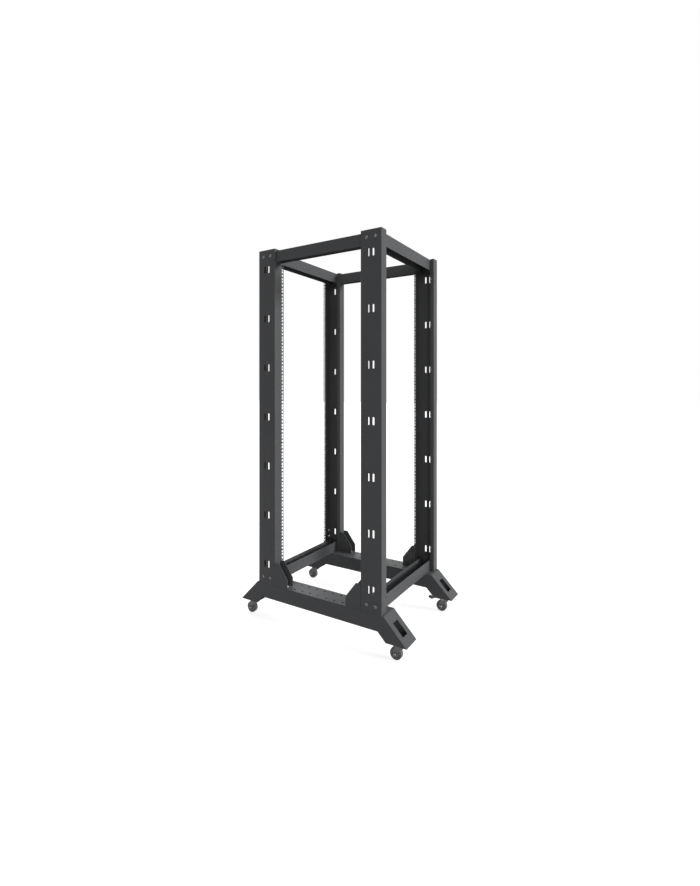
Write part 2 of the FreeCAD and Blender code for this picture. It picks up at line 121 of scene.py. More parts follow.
def makeScuffGroup():
    # handling marks: mask = sharpened stretched noise (the streaks) * sharpened slow noise
    # (the patches in which they come and go)
    group, given, result = newGroup(
        "handlingMarks", [("Streak Size", "NodeSocketFloat", 60.0)],
        [("Mask", "NodeSocketFloat")])
    links = group.links
    place = group.nodes.new("ShaderNodeTexCoord")
    lean = group.nodes.new("ShaderNodeMapping")
    lean.inputs["Rotation"].default_value = (0.5, 0.2, 0.9)
    lean.inputs["Scale"].default_value = (1.0, 9.0, 1.6)
    streak = group.nodes.new("ShaderNodeTexNoise")
    streak.inputs["Detail"].default_value = 5.0
    streak.inputs["Roughness"].default_value = 0.7
    patch = group.nodes.new("ShaderNodeTexNoise")
    patch.inputs["Scale"].default_value = 5.0
    sharp = group.nodes.new("ShaderNodeMapRange")
    sharp.inputs["From Min"].default_value = 0.6
    sharp.inputs["From Max"].default_value = 0.78
    thin = group.nodes.new("ShaderNodeMapRange")
    thin.inputs["From Min"].default_value = 0.5
    thin.inputs["From Max"].default_value = 0.75
    both = group.nodes.new("ShaderNodeMath")
    both.operation = "MULTIPLY"
    links.new(place.outputs["Object"], lean.inputs["Vector"])
    links.new(lean.outputs["Vector"], streak.inputs["Vector"])
    links.new(given.outputs["Streak Size"], streak.inputs["Scale"])
    links.new(place.outputs["Object"], patch.inputs["Vector"])
    links.new(streak.outputs["Fac"], sharp.inputs["Value"])
    links.new(patch.outputs["Fac"], thin.inputs["Value"])
    links.new(sharp.outputs["Result"], both.inputs[0])
    links.new(thin.outputs["Result"], both.inputs[1])
    links.new(both.outputs[0], result.inputs["Mask"])
    return group


coatGroup = makeCoatGroup()
scuffGroup = makeScuffGroup()

# tone runs from dark to light; grain and drift are the scales of the two patterns, the
# larger the finer; bump is the grain's strength and lift its height in metres; scuff is how
# far a handling mark goes towards the worn tone, which is the light tone times wornLift
wornLift = 2.4
finishes = {
    "rackCoat": dict(dark=(0.045, 0.046, 0.048), light=(0.057, 0.058, 0.060), grain=650,
                     drift=5, rough=(0.44, 0.56), bump=0.16, lift=0.00012, scuff=0.05,
                     metallic=0.0, gloss=0.15),
    # the caster metal's tone, about twice the rack coat's, is its own dark paint plus a painted
    # sheen: the lift stands in for the fork's reflections of the bright surroundings
    "casterCoatAndPaintedSheen": dict(dark=(0.085, 0.086, 0.090), light=(0.130, 0.131, 0.136), grain=900,
                       drift=30, rough=(0.30, 0.44), bump=0.12, lift=0.00008, scuff=0.22,
                       metallic=0.0, gloss=0.5),
    "wheelRubber": dict(dark=(0.060, 0.060, 0.062), light=(0.092, 0.092, 0.095), grain=1300,
                        drift=40, rough=(0.52, 0.66), bump=0.20, lift=0.00010, scuff=0.30,
                        metallic=0.0, gloss=0.3),
    "wheelCore": dict(dark=(0.115, 0.116, 0.120), light=(0.160, 0.161, 0.166), grain=1500,
                      drift=40, rough=(0.42, 0.52), bump=0.10, lift=0.00006, scuff=0.2,
                      metallic=0.0, gloss=0.4),
    "pedalNylon": dict(dark=(0.012, 0.012, 0.013), light=(0.022, 0.022, 0.024), grain=1600,
                       drift=50, rough=(0.40, 0.50), bump=0.22, lift=0.00008, scuff=0.25,
                       metallic=0.0, gloss=0.3),
    "boltZinc": dict(dark=(0.30, 0.30, 0.31), light=(0.47, 0.47, 0.48), grain=1800, drift=120,
                     rough=(0.28, 0.42), bump=0.08, lift=0.00004, scuff=0.15, metallic=1.0,
                     gloss=0.5),
    "boltBlack": dict(dark=(0.100, 0.100, 0.103), light=(0.160, 0.160, 0.164), grain=1800,
                      drift=120, rough=(0.20, 0.30), bump=0.08, lift=0.00004, scuff=0.20,
                      metallic=1.0, gloss=0.5),
}


def makeFinish(name):
    # colour = mix(mix(dark, light, drift), light * wornLift, mark * scuff), roughness runs
    # between the two given values with the speck, and the grain's height bends the normal
    look = finishes[name]
    material = bpy.data.materials.new(name)
    material.use_nodes = True
    tree = material.node_tree
    links = tree.links
    shader = tree.nodes["Principled BSDF"]
    shader.inputs["Metallic"].default_value = look["metallic"]
    shader.inputs["Specular IOR Level"].default_value = look["gloss"]
    coat = tree.nodes.new("ShaderNodeGroup")
    coat.node_tree = coatGroup
    coat.inputs["Grain Size"].default_value = look["grain"]
    coat.inputs["Drift Size"].default_value = look["drift"]
    marks = tree.nodes.new("ShaderNodeGroup")
    marks.node_tree = scuffGroup
    tone = tree.nodes.new("ShaderNodeMix")
    tone.data_type = "RGBA"
    tone.inputs["A"].default_value = (*look["dark"], 1)
    tone.inputs["B"].default_value = (*look["light"], 1)
    worn = tree.nodes.new("ShaderNodeMix")
    worn.data_type = "RGBA"
    worn.inputs["B"].default_value = (*[min(1.0, c * wornLift) for c in look["light"]], 1)
    amount = tree.nodes.new("ShaderNodeMath")
    amount.operation = "MULTIPLY"
    amount.inputs[1].default_value = look["scuff"]
    rough = tree.nodes.new("ShaderNodeMapRange")
    rough.inputs["To Min"].default_value = look["rough"][0]
    rough.inputs["To Max"].default_value = look["rough"][1]
    bump = tree.nodes.new("ShaderNodeBump")
    bump.inputs["Strength"].default_value = look["bump"]
    bump.inputs["Distance"].default_value = look["lift"]
    links.new(coat.outputs["Drift"], tone.inputs["Factor"])
    links.new(marks.outputs["Mask"], amount.inputs[0])
    links.new(tone.outputs["Result"], worn.inputs["A"])
    links.new(amount.outputs[0], worn.inputs["Factor"])
    links.new(worn.outputs["Result"], shader.inputs["Base Color"])
    links.new(coat.outputs["Speck"], rough.inputs["Value"])
    links.new(rough.outputs["Result"], shader.inputs["Roughness"])
    links.new(coat.outputs["Height"], bump.inputs["Height"])
    links.new(bump.outputs["Normal"], shader.inputs["Normal"])
    return material


finish = {name: makeFinish(name) for name in finishes}
print("finishes made:", ", ".join(finish))


# Mesh helpers

# an edge that turns by more than this is eased, in degrees
easeAngle = 28


def addPiece(name, points, faces, finishName, body, slotName=None, crease=32, ease=0):
    # a mesh from whole arrays: points (n, 3) in metres and faces as arrays with one row each,
    # its doubles merged and its faces turned outwards
    mesh = bpy.data.meshes.new(name)
    mesh.from_pydata(np.asarray(points, float).tolist(), [],
                     [face for part in faces for face in np.asarray(part).tolist()])
    shape = bmesh.new()
    shape.from_mesh(mesh)
    bmesh.ops.remove_doubles(shape, verts=shape.verts, dist=1e-7)
    bmesh.ops.recalc_face_normals(shape, faces=shape.faces)
    shape.to_mesh(mesh)
    shape.free()
    return dressPiece(name, mesh, finishName, body, slotName, crease, ease)


def dressPiece(name, mesh, finishName, body, slotName, crease, ease=0, steps=2):
    # the finished mesh as a piece: its finish, its creases sharper than an angle in degrees,
    # its edges eased by a width in millimetres and the body it rides on; the slot name is not used
    mesh.materials.clear()
    mesh.materials.append(finish[finishName])
    mesh.shade_smooth()
    mesh.set_sharp_from_angle(angle=math.radians(crease))
    piece = bpy.data.objects.new(name, mesh)
    bpy.context.scene.collection.objects.link(piece)
    if ease:
        edge = piece.modifiers.new("eased edge", "BEVEL")
        edge.width = ease * mm
        edge.segments = steps
        edge.limit_method = "WEIGHT" if "bevel_weight_edge" in mesh.attributes else "ANGLE"
        edge.angle_limit = math.radians(easeAngle)
        edge.harden_normals = True
    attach(piece, body)
    return piece


def ringLoop(centre, radius, count, reach=0.0):
    # a circle, centre + radius * (cos t, sin t), its two halves drawn apart by the reach
    # along the second axis
    turn = np.arange(count) * 2 * math.pi / count + math.pi / count
    loop = np.stack([radius * np.cos(turn), radius * np.sin(turn)], 1)
    loop[:, 1] += np.where(loop[:, 1] > 0, reach, -reach)
    return loop + np.asarray(centre, float)


def roundCorners(edge, radius, steps=6):
    # an outline with each corner cut back by radius / tan(half the corner's angle), and the
    # two cuts joined by an arc of that radius about a point on the corner's middle line
    here = np.asarray(edge, float)
    radius = np.broadcast_to(np.asarray(radius, float), len(here))[:, None]
    back, ahead = np.roll(here, 1, 0) - here, np.roll(here, -1, 0) - here
    back /= np.linalg.norm(back, axis=1, keepdims=True)
    ahead /= np.linalg.norm(ahead, axis=1, keepdims=True)
    half = np.arccos(np.clip((back * ahead).sum(1, keepdims=True), -1, 1)) / 2
    middle, across = back + ahead, ahead - back
    middle /= np.linalg.norm(middle, axis=1, keepdims=True)
    across /= np.linalg.norm(across, axis=1, keepdims=True)
    centre = here + middle * radius / np.sin(half)
    swing = (np.linspace(-1, 1, steps) * (math.pi / 2 - half))[:, :, None]
    arcs = radius[:, :, None] * (across[:, None] * np.sin(swing) - middle[:, None] * np.cos(swing))
    return (centre[:, None] + arcs).reshape(-1, 2)


def squareLoop(centre, side):
    # the four corners, half a side from the centre both ways
    half = side / 2
    return np.asarray(centre, float) + np.array([[-half, -half], [half, -half],
                                                 [half, half], [-half, half]])


def fillBlank(loops, lines):
    # triangles of a flat blank: the first loop is its edge, the others are holes, and the
    # lines are kept as edges, so that the blank can be folded along them
    sizes = [len(loop) for loop in loops]
    starts = np.cumsum([0] + sizes)
    points = np.concatenate(loops + [np.asarray(lines, float).reshape(-1, 2)])
    edges = [np.stack([starts[i] + np.arange(n), starts[i] + (np.arange(n) + 1) % n], 1)
             for i, n in enumerate(sizes)]
    edges = np.concatenate(edges + [starts[-1] + np.arange(len(lines) * 2).reshape(-1, 2)])
    result = delaunay_2d_cdt([Vector(p) for p in points.tolist()], edges.tolist(), [], 1, 1e-7)
    flat = np.array([tuple(v) for v in result[0]])
    faces = np.array([list(face) for face in result[2]])
    # a triangle with all its corners on one hole lies in that hole, and is left out
    loopOf = np.repeat(np.arange(len(loops)), sizes)
    loopOf = np.concatenate([loopOf, np.zeros(len(points) - len(loopOf), int)])
    owner = loopOf[np.array([given[0] if given else 0 for given in result[3]])]
    inHole = (owner[faces] > 0).all(1) & (np.ptp(owner[faces], axis=1) == 0)
    return flat, faces[~inHole]


def addSheet(name, loops, lines, place, finishName, body, slotName, ease=0):
    # a sheet of metal: the blank is cut flat, and place(flat, depth) folds it, with depth 0
    # on its outer face and 1 on its inner face; walls join the two along every cut edge
    flat, faces = fillBlank(loops, lines)
    count = len(flat)
    points = np.concatenate([place(flat, 0.0), place(flat, 1.0)])
    sides = np.concatenate([faces[:, [0, 1]], faces[:, [1, 2]], faces[:, [2, 0]]])
    key = np.sort(sides, 1) @ np.array([count, 1])
    _, first, times = np.unique(key, return_index=True, return_counts=True)
    rim = sides[first[times == 1]]
    walls = np.stack([rim[:, 1], rim[:, 0], rim[:, 0] + count, rim[:, 1] + count], 1)
    return addPiece(name, points, [faces, faces[:, ::-1] + count, walls], finishName, body,
                    slotName, ease=ease)


def stackRings(rings, count, closed=False):
    # a surface of rings about the Z axis; each ring is (size, height, shape), where shape 0
    # is a circle of that radius and 1 a hexagon whose flats are that far from the axis:
    # radius = size / cos(angle from the middle of the nearest flat). Closed joins the last
    # ring to the first, as on a wheel; else both ends are filled
    turn = np.arange(count) * 2 * math.pi / count
    flats = 1 / np.cos((turn % (math.pi / 3)) - math.pi / 6)
    sizes, heights, shapes = np.array(rings, float).T
    radius = sizes[:, None] * (1 + shapes[:, None] * (flats - 1))
    points = np.stack([radius * np.cos(turn), radius * np.sin(turn),
                       np.repeat(heights[:, None], count, 1)], 2).reshape(-1, 3)
    total = len(rings)
    steps = np.arange(total if closed else total - 1)
    low, here = np.meshgrid(steps, np.arange(count), indexing="ij")
    high, following = (low + 1) % total, (here + 1) % count
    quads = np.stack([low * count + here, low * count + following,
                      high * count + following, high * count + here], 2).reshape(-1, 4)
    faces = [quads]
    if not closed:
        faces += [np.arange(count)[None, ::-1], (total - 1) * count + np.arange(count)[None]]
    return points, faces


def axesTo(direction):
    # three unit vectors as columns, the last along the direction and the others square to it:
    # first = start x third, second = third x first
    third = np.asarray(direction, float) / np.linalg.norm(direction)
    start = np.array([0.0, 0.0, 1.0]) if abs(third[2]) < 0.9 else np.array([1.0, 0.0, 0.0])
    first = np.cross(start, third)
    first /= np.linalg.norm(first)
    return np.stack([first, np.cross(third, first), third], 1)


def copyTo(points, faces, spots):
    # copies of one shape at many spots, each (place, direction), as one set of arrays: each
    # point becomes axes * point + place
    turned = np.stack([points @ axesTo(direction).T + np.asarray(place, float)
                       for place, direction in spots])
    shift = np.arange(len(spots)) * len(points)
    copies = [(part[None] + shift[:, None, None]).reshape(-1, part.shape[1]) for part in faces]
    return turned.reshape(-1, 3), copies


# Posts, cut as flat blanks and folded

post = dict(width=96, sheet=2, bend=1.2, bendSteps=6, railFlange=60, plainFlange=42, lip=20,
            units=32, unit=44.45, step=15.875, firstHole=6.35, square=9.5, holeLine=52.45,
            margin=45.3, lipHole=2.3, lipEdge=4, slotWidth=8.5, slotLength=32,
            slotSpread=22.5, slotPairs=7, slotMargin=90, footHole=3.5, footHoles=(62, 94),
            footLine=8, footRailLine=49.5)
# each post's side along Y, the way that its section runs along X, and the flange that has
# its foot holes
postTurns = {"front_left": (-1, 1, "plain"), "front_right": (1, 1, "plain"),
             "rear_left": (-1, -1, "plain"), "rear_right": (1, 1, "rail")}


def postRuns():
    # straight stretches of the section between its quarter circles: each wall less the outer
    # radius at each end that is bent
    outer = post["bend"] + post["sheet"]
    return [post["railFlange"] - outer, post["width"] - 2 * outer,
            post["plainFlange"] - 2 * outer, post["lip"] - outer]


def foldPost(flat, depth):
    # Going across the blank, the outer face runs down the rail flange, round a quarter
    # circle, along the web, round to the plain flange and round to the lip. The circles'
    # radius is less by the depth into the sheet. Gives (across, deep) from the outer corner.
    outer = post["bend"] + post["sheet"]
    arc = outer * math.pi / 2
    radius = outer - depth * post["sheet"]
    runs = postRuns()
    across = flat[:, 0]
    spot = np.stack([np.full(len(flat), outer - radius), post["railFlange"] - across], 1)
    centre = np.array([outer, outer], float)
    heading = np.array([0.0, -1.0])
    reached = runs[0]
    for run in runs[1:]:
        away = np.array([heading[1], -heading[0]])
        turn = np.clip((across - reached) / outer, 0, math.pi / 2)[:, None]
        onward = np.clip(across - reached - arc, 0, None)[:, None]
        ring = centre + radius * (away * np.cos(turn) + heading * np.sin(turn)) - onward * away
        spot = np.where((across > reached)[:, None], ring, spot)
        heading = -away
        centre = centre + run * heading
        reached += arc + run
    return spot


def blankPost(height, footFlange):
    # edge, holes and fold lines of the flat blank, in (across, up). A square hole stands at
    # margin + unit * i + firstHole + step * j, for units i and j of 0 to 2
    p = post
    outer = p["bend"] + p["sheet"]
    arc = outer * math.pi / 2
    runs = postRuns()
    width = sum(runs) + 3 * arc
    webStart = runs[0] + arc
    flangeStart = webStart + runs[1] + arc
    loops = [np.array([[0, 0], [width, 0], [width, height], [0, height]], float)]
    rise = p["margin"] + p["firstHole"] + np.array([0, 1, 2]) * p["step"]
    rise = (np.arange(p["units"])[:, None] * p["unit"] + rise).ravel()
    squareAt = p["railFlange"] - p["holeLine"]
    loops += [squareLoop((squareAt, z), p["square"]) for z in rise]
    loops += [ringLoop((width - p["lipEdge"], z), p["lipHole"], 10) for z in rise]
    pairs = np.linspace(p["slotMargin"], height - p["slotMargin"], p["slotPairs"])
    middle = webStart + p["width"] / 2 - outer
    for side in (-1, 1):
        loops += [ringLoop((middle + side * p["slotSpread"] / 2, z), p["slotWidth"] / 2, 16,
                           (p["slotLength"] - p["slotWidth"]) / 2) for z in pairs]
    footAt = p["footRailLine"] if footFlange == "rail" \
        else flangeStart + p["plainFlange"] - p["footLine"] - outer
    loops += [ringLoop((footAt, z), p["footHole"], 12) for z in p["footHoles"]]
    bends = [runs[0], webStart + runs[1], flangeStart + runs[2]]
    cuts = np.concatenate([start + np.linspace(0, arc, p["bendSteps"] + 1) for start in bends])
    lines = [[[c, 0], [c, height]] for c in cuts]
    return loops, lines


def makePost(corner):
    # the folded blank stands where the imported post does: x = start + toward * across,
    # y = side * (face - deep), z = foot + the height on the blank
    side, toward, footFlange = postTurns[corner]
    low, high = (np.round(np.array(end) / mm, 3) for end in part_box(corner + "_post"))
    start = low[0] if toward > 0 else high[0]
    face, foot = max(-low[1], high[1]), low[2]

    def place(flat, depth):
        spot = foldPost(flat, depth)
        return np.stack([start + toward * spot[:, 0], side * (face - spot[:, 1]),
                         foot + flat[:, 1]], 1) * mm

    loops, lines = blankPost(high[2] - foot, footFlange)
    piece = addSheet(corner + "_folded_post", loops, lines, place, "rackCoat", "root",
                     "frame_paint")
    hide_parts(corner + "_post")
    return len(piece.data.polygons)


postFaces = [makePost(corner) for corner in postTurns]
print("posts folded:", postFaces[0], "faces each")


# Beams, rails, base beams and brackets: the CAD shape with its folded edges eased

# the width that each kind is eased by, the shortest edge that is eased, the angle of a
# crease and the steps round a fold
folds = dict(beam=1.0, rail=1.0, baseBeam=1.3, bracket=1.3, shortest=7, crease=40, steps=3)


def easeNode(node, width):
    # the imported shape, its flat stretches joined again, with the folds eased by the width
    mesh = nodes[node].data.copy()
    shape = bmesh.new()
    shape.from_mesh(mesh)
    bmesh.ops.remove_doubles(shape, verts=shape.verts, dist=1e-6)
    bmesh.ops.dissolve_limit(shape, angle_limit=math.radians(1), verts=shape.verts,
                             edges=shape.edges)
    # only the folds and long edges are eased: the rims of the holes stay crisp
    weight = shape.edges.layers.float.new("bevel_weight_edge")
    for edge in shape.edges:
        turned = len(edge.link_faces) == 2 and edge.calc_face_angle() > math.radians(easeAngle)
        edge[weight] = 1.0 if turned and edge.calc_length() > folds["shortest"] * mm else 0.0
    shape.to_mesh(mesh)
    shape.free()
    piece = dressPiece(node + "_eased", mesh, "rackCoat", nodes[node]["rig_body"],
                       "frame_paint", folds["crease"], width, folds["steps"])
    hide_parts(node)


for kind, names in (("beam", ["front_bottom_beam", "rear_bottom_beam", "front_top_beam",
                              "rear_top_beam"]),
                    ("rail", ["left_top_rail", "right_top_rail"]),
                    ("baseBeam", ["left_base_beam", "right_base_beam"]),
                    ("bracket", [corner + "_bracket" for corner in corners])):
    for node in names:
        easeNode(node, folds[kind])
print("beams, rails and brackets eased")


# Bolts

bolts = dict(head=6.2, rim=0.7, rise=3.4, dome=1.12, washer=7.2, washerRise=0.9,
             washerEdge=0.25, socket=2.6, socketDeep=2.4, socketEdge=0.2)
# distances of the bolts from the rack's middle, along X and Y, and their heights
boltPlaces = dict(post=272, apart=20, web=285, webHeights=(205, 1658),
                  rail=(221.5, 257.5, 1655), back=(221, 265), backHeights=(215, 255),
                  toe=(168, 265, 178))


def makeButtonHead():
    # a washer, a domed head and a hexagon socket, as rings about the bolt; the dome is
    # head * cos(a) wide and rim + (rise - rim) * sin(a) high, for a from 0 to dome
    b = bolts
    top = b["washerRise"]
    rings = [(b["washer"], 0, 0), (b["washer"], top * 0.75, 0),
             (b["washer"] - b["washerEdge"], top, 0), (b["head"] + 0.1, top, 0)]
    rings += [(b["head"] * math.cos(a), top + b["rim"] + (b["rise"] - b["rim"]) * math.sin(a), 0)
              for a in np.linspace(0, b["dome"], 5)]
    rings += [(b["socket"] * 1.08, top + b["rise"] * 0.97, 1),
              (b["socket"], top + b["rise"] - b["socketEdge"], 1),
              (b["socket"], top + b["rise"] - b["socketDeep"], 1)]
    points, faces = stackRings(rings, 24)
    return points * mm, faces


def placeBolts():
    # black bolts in the webs, inside the posts for the side top rail and at the brackets'
    # backs, and a bright one in each bracket's toe; each is (place, direction)
    p = boltPlaces
    black, bright = [], []
    for front, side in corners.values():
        for shift in (-p["apart"], p["apart"]):
            for z in p["webHeights"]:
                spot = (front * p["post"] + shift, side * p["web"], z)
                black.append((np.array(spot) * mm, (0, side, 0)))
        for x, y, z in [p["rail"]] + [(*p["back"], z) for z in p["backHeights"]]:
            black.append((np.array([front * x, side * y, z]) * mm, (-front, 0, 0)))
        x, y, z = p["toe"]
        bright.append((np.array([front * x, side * y, z]) * mm, (0, 0, 1)))
    return black, bright


headPoints, headFaces = makeButtonHead()
blackSpots, brightSpots = placeBolts()
addPiece("frame_bolts_black", *copyTo(headPoints, headFaces, blackSpots), "boltBlack", "root")
addPiece("frame_bolts_zinc", *copyTo(headPoints, headFaces, brightSpots), "boltZinc", "root")
print("bolts set:", len(blackSpots) + len(brightSpots))


# Casters, each about its swivel axis; the wheel trails behind it

caster = dict(reach=382, side=240, trail=20, height=75, plate=(76, 62), plateSheet=2.5,
              plateCorner=7, plateEase=0.4, boltAt=(30, 23), boltHole=3.4, race=20,
              raceHeight=5, gap=0.3, pin=5, pinPlay=0.05, crown=18, cheekGap=24, sheet=2.5,
              bend=2, bendSteps=5, ease=0.45, wheel=25, tread=10, hub=11.4, rim=19.2,
              bore=4.06, eye=9, axle=4, axlePlay=0.1, inset=0.2)
# heads and nuts as (half across the flats, height, washer radius, radius of the bolt's end)
hexes = dict(axleHead=(6.0, 4.0, 7.4, 3.2), axleNut=(6.0, 4.6, 7.4, 3.6),
             plateNut=(5.0, 4.0, 6.0, 2.9))
# a cheek's outline: heights above the floor of its waist, its neck and the crown's two
# corners, the neck's reach ahead of the swivel axis, and the radii that round them
cheek = dict(waist=36, neck=50, crownAhead=60, crownBehind=61, neckReach=11, waistRound=9,
             neckRound=14, aheadRound=3, behindRound=7)


def turnedPiece(name, rings, place, direction, finishName, body, slotName, count=48,
                closed=False):
    # rings in millimetres about an axis through the place along the direction
    points, faces = stackRings(rings, count, closed)
    points = (points @ axesTo(direction).T + np.asarray(place, float)) * mm
    return addPiece(name, points, faces, finishName, body, slotName)


def mirrorRings(rings):
    # a closed section that is the same on both sides of its middle
    return rings + [(size, -height, shape) for size, height, shape in rings[::-1]]


def makeWheel(corner, centre):
    # a tyre with a crowned tread, and a core with hub, thin web and rim: each is half a
    # section, as rings of (radius, half width, 0 for round), with its mirror image
    c = caster
    tyre = mirrorRings([(c["rim"], 8.9, 0), (20.0, 9.0, 0), (20.7, 9.8, 0), (22.3, c["tread"], 0),
                        (23.6, 9.5, 0), (24.6, 8.4, 0), (24.95, 6.6, 0), (c["wheel"], 3.2, 0)])
    core = mirrorRings([(c["bore"], 11.0, 0), (4.5, c["hub"], 0), (8.3, c["hub"], 0),
                        (8.9, 10.9, 0), (9.5, 6.4, 0), (10.3, 5.5, 0), (14.4, 5.2, 0),
                        (15.6, 5.6, 0), (16.3, 8.6, 0), (16.8, 9.3, 0), (18.7, 9.4, 0),
                        (c["rim"] + 0.1, 8.8, 0)])
    body = corner + "_wheel"
    band = turnedPiece(corner + "_tyre", tyre, centre, (0, 1, 0), "wheelRubber", body,
                       "caster_wheel", 72, True)
    disc = turnedPiece(corner + "_wheel_core", core, centre, (0, 1, 0), "wheelCore", body,
                       "caster_wheel", 72, True)
    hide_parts(corner + "_caster_wheel")
    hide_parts(corner + "_caster_wheel")


def hexEnd(flats, rise, washer, stub):
    # a washer, a hexagon with its corners turned off and the end of the bolt, as rings of
    # (size, height, 0 for round or 1 for hexagon)
    return [(washer, 0, 0), (washer, 0.8, 0), (washer - 0.3, 1.0, 0), (flats - 0.1, 1.0, 1),
            (flats, 1.2, 1), (flats, rise - 0.5, 1), (flats * 0.97, rise, 0.4),
            (stub, rise, 0), (stub, rise + 0.7, 0), (stub - 0.5, rise + 1.1, 0)]


def makeFork(corner, x, y):
    # a pressed sheet: the crown lies level, a quarter circle turns it down on each side, and
    # the cheeks narrow to an eye about the axle. On the blank, s is measured from the middle
    # of the crown, so a height z lies at s = flatHalf + arc + (top - outer - z)
    c, k = caster, cheek
    top = c["height"] - c["plateSheet"] - c["raceHeight"] - c["gap"]
    outer = c["bend"] + c["sheet"]
    flatHalf = c["cheekGap"] / 2 + c["sheet"] - outer
    arc = outer * math.pi / 2

    def spread(z):
        return flatHalf + arc + top - outer - z

    eyeBack, eyeAhead = -c["trail"] - c["eye"], -c["trail"] + c["eye"]
    crown, foot, eyeRound = c["crown"], spread(c["wheel"] - c["eye"]), c["eye"] * 0.99
    # one cheek's outline, from the back of the crown round the eye to its front: distance
    # along X, distance on the blank and the radius of the corner
    half = [(-crown, spread(k["crownBehind"]), k["behindRound"]),
            (eyeBack, spread(k["waist"]), k["neckRound"]),
            (eyeBack, foot, eyeRound), (eyeAhead, foot, eyeRound),
            (eyeAhead, spread(k["waist"]), k["waistRound"]),
            (k["neckReach"], spread(k["neck"]), k["neckRound"]),
            (crown, spread(k["crownAhead"]), k["aheadRound"])]
    edge = [(along, -s) for along, s, _ in half] + [(along, s) for along, s, _ in half[::-1]]
    radii = [radius for _, _, radius in half + half[::-1]]
    axleAt = spread(c["wheel"])
    loops = [roundCorners(edge, radii, 9), ringLoop((0, 0), c["pin"] + c["pinPlay"], 24),
             ringLoop((-c["trail"], axleAt), c["axle"] + c["axlePlay"], 20),
             ringLoop((-c["trail"], -axleAt), c["axle"] + c["axlePlay"], 20)]
    cuts = np.concatenate([sign * (flatHalf + np.linspace(0, arc, c["bendSteps"] + 1))
                           for sign in (-1, 1)])
    lines = [[[-crown, s], [crown, s]] for s in cuts]

    def place(flat, depth):
        # out = min(|s|, flatHalf) + radius * sin(turn), and the height falls from the crown's
        # by radius * (1 - cos(turn)) and then by the length past the bend
        radius = outer - depth * c["sheet"]
        along = np.abs(flat[:, 1]) - flatHalf
        turn = np.clip(along / outer, 0, math.pi / 2)
        down = np.clip(along - arc, 0, None)
        wide = np.minimum(np.abs(flat[:, 1]), flatHalf) + radius * np.sin(turn)
        return np.stack([x + flat[:, 0], y + np.sign(flat[:, 1]) * wide,
                         top - outer + radius * np.cos(turn) - down], 1) * mm

    body = corner + "_fork"
    fork = addSheet(corner + "_pressed_fork", loops, lines, place, "casterCoatAndPaintedSheen", body,
                    "caster_metal", ease=c["ease"])
    outside = c["cheekGap"] / 2 + c["sheet"]
    reach = outside - c["inset"]
    spot = np.array([x - c["trail"], y, c["wheel"]])
    shank = turnedPiece(corner + "_axle", [(c["axle"], -reach, 0), (c["axle"], reach, 0)], spot,
                        (0, 1, 0), "boltBlack", body, "caster_metal")
    for label, kind, side in (("_axle_head", "axleHead", -1), ("_axle_nut", "axleNut", 1)):
        end = turnedPiece(corner + label, hexEnd(*hexes[kind]), spot + (0, side * outside, 0),
                          (0, side, 0), "boltBlack", body, "caster_metal", 36)
        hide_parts(corner + "_caster_fork")
    for piece in (fork, shank):
        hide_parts(corner + "_caster_fork")


def makePlate(corner, x, y):
    # a flat plate with rounded corners and four bolt holes; a point of its blank stands at
    # (x + along, y + across, height - depth * sheet). Gives the places of its nuts
    c = caster
    halfLong, halfWide = c["plate"][0] / 2, c["plate"][1] / 2
    edge = roundCorners([(-halfLong, -halfWide), (halfLong, -halfWide),
                         (halfLong, halfWide), (-halfLong, halfWide)], c["plateCorner"])
    spots = [(sx * c["boltAt"][0], sy * c["boltAt"][1]) for sx in (-1, 1) for sy in (-1, 1)]
    loops = [edge] + [ringLoop(spot, c["boltHole"], 16) for spot in spots]
    under = c["height"] - c["plateSheet"]

    def place(flat, depth):
        high = np.full(len(flat), c["height"] - depth * c["plateSheet"])
        return np.stack([x + flat[:, 0], y + flat[:, 1], high], 1) * mm

    plate = addSheet(corner + "_bolted_plate", loops, [], place, "casterCoatAndPaintedSheen", "root",
                     "caster_metal", ease=c["plateEase"])
    pin, race = c["pin"], c["race"]
    # the domed ball race, then the pin through the crown, its washer and its nut, as rings of
    # (radius, distance below the plate, shape)
    rings = [(race - 1.2, 0, 0), (race - 0.2, 0.4, 0), (race, 1.2, 0), (race, 2.6, 0),
             (race - 0.7, 4.0, 0), (race - 2.2, 4.9, 0), (race - 4, 5, 0), (pin, 5, 0),
             (pin, 8.1, 0), (8.8, 8.1, 0), (8.8, 8.8, 0), (7.3, 8.8, 1), (7.5, 9.1, 1),
             (7.5, 10.3, 1), (7.2, 10.8, 0.5), (pin - 0.2, 10.8, 0), (pin - 0.6, 11.1, 0)]
    turned = turnedPiece(corner + "_ball_race", rings, (x, y, under), (0, 0, -1), "casterCoatAndPaintedSheen",
                         "root", "caster_metal", 60)
    for piece in (plate, turned):
        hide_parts(corner + "_caster_plate")
    return [(np.array([x + sx, y + sy, under]) * mm, (0, 0, -1)) for sx, sy in spots]


plateBolts = []
for corner, (front, side) in corners.items():
    x, y = front * caster["reach"], side * caster["side"]
    makeWheel(corner, (x - caster["trail"], y, caster["wheel"]))
    makeFork(corner, x, y)
    plateBolts += makePlate(corner, x, y)
nutPoints, nutFaces = stackRings(hexEnd(*hexes["plateNut"]), 24)
addPiece("caster_plate_nuts", *copyTo(nutPoints * mm, nutFaces, plateBolts), "boltZinc", "root")
print("casters made")


# Brake pedal of the front right caster

pedal = dict(pin=(370.5, 240, 57), arm=31, neck=23, blade=20, dip=9, rise=7, armWide=20,
             neckWide=12, bladeWide=26, sheet=2, soft=3, edgeRound=5, bladeRound=6, heel=2.5,
             ease=0.45, knuckle=4, bore=2.05, pinRadius=2, rivet=3.3, stud=(-17, 0, 1))


